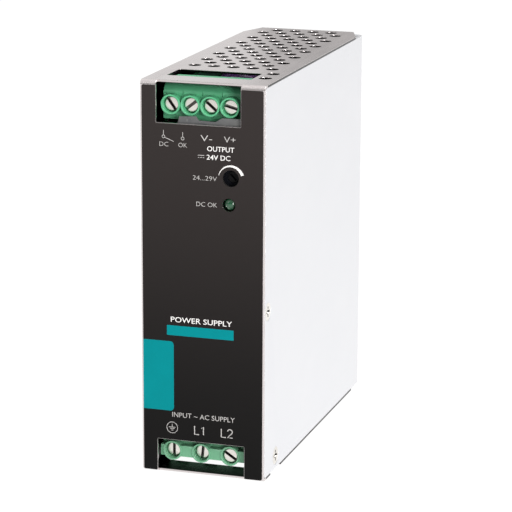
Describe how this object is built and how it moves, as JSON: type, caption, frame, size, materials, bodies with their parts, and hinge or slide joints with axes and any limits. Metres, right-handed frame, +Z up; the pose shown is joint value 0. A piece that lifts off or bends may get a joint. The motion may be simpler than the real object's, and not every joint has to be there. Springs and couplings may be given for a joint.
{
  "type": "DIN rail power supply",
  "caption": "Narrow upright power supply in a sheet-metal case with a dark front, green screw terminals top and bottom, vent holes and a sprung rail clip.",
  "frame": {"origin": "centre of the footprint, at the underside of the bottom sheet", "axes": "+Z up along the case's height, -Y out of the labelled front, +Y into the rail, +X to the right side panel"},
  "size_m": [0.04, 0.1218, 0.1252],
  "materials": {
    "case_steel": "satin",
    "case_alloy": "satin",
    "label_film": "satin",
    "clear_film": "satin",
    "screw_metal": "bright",
    "green_plastic": "satin",
    "pale_green_plastic": "satin",
    "contact_metal": "satin",
    "board": "satin",
    "post_plastic": "satin",
    "trimmer_plastic": "satin",
    "rotor_plastic": "satin",
    "lamp_lens": "gloss",
    "ferrite": "matte",
    "winding_tape": "satin",
    "copper_wire": "satin",
    "capacitor_sleeve": "gloss",
    "violet_sleeve": "gloss",
    "package_epoxy": "matte",
    "relay_plastic": "satin",
    "fuse_glass": "gloss",
    "clip_alloy": "satin",
    "spring_steel": "bright"
  },
  "bodies": {
    "case": {"front_wrap": "case_steel", "body_shell": "case_alloy", "front_label": "label_film", "insulation_sheet": "clear_film", "side_screw_right_front": "screw_metal", "side_screw_left_front": "screw_metal", "side_screw_right_low": "screw_metal", "side_screw_left_low": "screw_metal", "output_terminal": "green_plastic", "input_terminal": "pale_green_plastic", "output_contact_1": "contact_metal", "output_contact_2": "contact_metal", "output_contact_3": "contact_metal", "output_contact_4": "contact_metal", "input_contact_1": "contact_metal", "input_contact_2": "contact_metal", "input_contact_3": "contact_metal", "main_board": "board", "output_board": "board", "input_board": "board", "control_board": "board", "board_post_1": "post_plastic", "board_post_2": "post_plastic", "board_post_3": "post_plastic", "board_post_4": "post_plastic", "trimmer_body": "trimmer_plastic", "ready_lamp": "lamp_lens", "transformer_core": "ferrite", "transformer_winding": "winding_tape", "choke_core": "ferrite", "choke_winding": "copper_wire", "bulk_capacitor_1": "capacitor_sleeve", "bulk_capacitor_2": "capacitor_sleeve", "output_capacitor_1": "violet_sleeve", "output_capacitor_2": "violet_sleeve", "heat_sink": "case_alloy", "switch_transistor": "package_epoxy", "bridge_rectifier": "package_epoxy", "ready_relay": "relay_plastic", "fuse": "fuse_glass", "rail_base": "clip_alloy", "rail_screw_1": "screw_metal", "rail_screw_2": "screw_metal", "latch_spring": "spring_steel"},
    "output_screw_1": {"output_screw_1": "screw_metal"},
    "output_cage_1": {"output_cage_1": "screw_metal"},
    "output_screw_2": {"output_screw_2": "screw_metal"},
    "output_cage_2": {"output_cage_2": "screw_metal"},
    "output_screw_3": {"output_screw_3": "screw_metal"},
    "output_cage_3": {"output_cage_3": "screw_metal"},
    "output_screw_4": {"output_screw_4": "screw_metal"},
    "output_cage_4": {"output_cage_4": "screw_metal"},
    "input_screw_1": {"input_screw_1": "screw_metal"},
    "input_cage_1": {"input_cage_1": "screw_metal"},
    "input_screw_2": {"input_screw_2": "screw_metal"},
    "input_cage_2": {"input_cage_2": "screw_metal"},
    "input_screw_3": {"input_screw_3": "screw_metal"},
    "input_cage_3": {"input_cage_3": "screw_metal"},
    "trimmer_rotor": {"trimmer_rotor": "rotor_plastic"},
    "rail_latch": {"rail_latch": "case_steel"}
  },
  "joints": [
    {"name": "output_screw_1_turn", "type": "hinge", "parent": "case", "child": "output_screw_1", "pos_m": [-0.0111, -0.0557, 0.1175], "axis": [0, 1, 0], "range_deg": [0, 1440.5]},
    {"name": "output_cage_1_rise", "type": "slide", "parent": "case", "child": "output_cage_1", "axis": [0, -1, 0], "range_m": [0, 0.002]},
    {"name": "output_screw_2_turn", "type": "hinge", "parent": "case", "child": "output_screw_2", "pos_m": [-0.00475, -0.0557, 0.1175], "axis": [0, 1, 0], "range_deg": [0, 1440.5]},
    {"name": "output_cage_2_rise", "type": "slide", "parent": "case", "child": "output_cage_2", "axis": [0, -1, 0], "range_m": [0, 0.002]},
    {"name": "output_screw_3_turn", "type": "hinge", "parent": "case", "child": "output_screw_3", "pos_m": [0.0016, -0.0557, 0.1175], "axis": [0, 1, 0], "range_deg": [0, 1440.5]},
    {"name": "output_cage_3_rise", "type": "slide", "parent": "case", "child": "output_cage_3", "axis": [0, -1, 0], "range_m": [0, 0.002]},
    {"name": "output_screw_4_turn", "type": "hinge", "parent": "case", "child": "output_screw_4", "pos_m": [0.00795, -0.0557, 0.1175], "axis": [0, 1, 0], "range_deg": [0, 1440.5]},
    {"name": "output_cage_4_rise", "type": "slide", "parent": "case", "child": "output_cage_4", "axis": [0, -1, 0], "range_m": [0, 0.002]},
    {"name": "input_screw_1_turn", "type": "hinge", "parent": "case", "child": "input_screw_1", "pos_m": [-0.0109, -0.0557, 0.0066], "axis": [0, 1, 0], "range_deg": [0, 1440.5]},
    {"name": "input_cage_1_rise", "type": "slide", "parent": "case", "child": "input_cage_1", "axis": [0, -1, 0], "range_m": [0, 0.002]},
    {"name": "input_screw_2_turn", "type": "hinge", "parent": "case", "child": "input_screw_2", "pos_m": [-0.0014, -0.0557, 0.0066], "axis": [0, 1, 0], "range_deg": [0, 1440.5]},
    {"name": "input_cage_2_rise", "type": "slide", "parent": "case", "child": "input_cage_2", "axis": [0, -1, 0], "range_m": [0, 0.002]},
    {"name": "input_screw_3_turn", "type": "hinge", "parent": "case", "child": "input_screw_3", "pos_m": [0.0081, -0.0557, 0.0066], "axis": [0, 1, 0], "range_deg": [0, 1440.5]},
    {"name": "input_cage_3_rise", "type": "slide", "parent": "case", "child": "input_cage_3", "axis": [0, -1, 0], "range_m": [0, 0.002]},
    {"name": "trimmer_turn", "type": "hinge", "parent": "case", "child": "trimmer_rotor", "pos_m": [0.0092, -0.0577, 0.0962], "axis": [0, 1, 0], "range_deg": [-135, 135]},
    {"name": "latch_slide", "type": "slide", "parent": "case", "child": "rail_latch", "axis": [0, 0, -1], "range_m": [0, 0.004], "stiffness_N_per_m": 1200, "springref_m": -0.004, "deforming": ["latch_spring"]}
  ],
  "couplings": [
    {"joint": "output_screw_1_turn", "follows": "output_cage_1_rise", "rad_per_m": 12566},
    {"joint": "output_screw_2_turn", "follows": "output_cage_2_rise", "rad_per_m": 12566},
    {"joint": "output_screw_3_turn", "follows": "output_cage_3_rise", "rad_per_m": 12566},
    {"joint": "output_screw_4_turn", "follows": "output_cage_4_rise", "rad_per_m": 12566},
    {"joint": "input_screw_1_turn", "follows": "input_cage_1_rise", "rad_per_m": 12566},
    {"joint": "input_screw_2_turn", "follows": "input_cage_2_rise", "rad_per_m": 12566},
    {"joint": "input_screw_3_turn", "follows": "input_cage_3_rise", "rad_per_m": 12566}
  ]
}
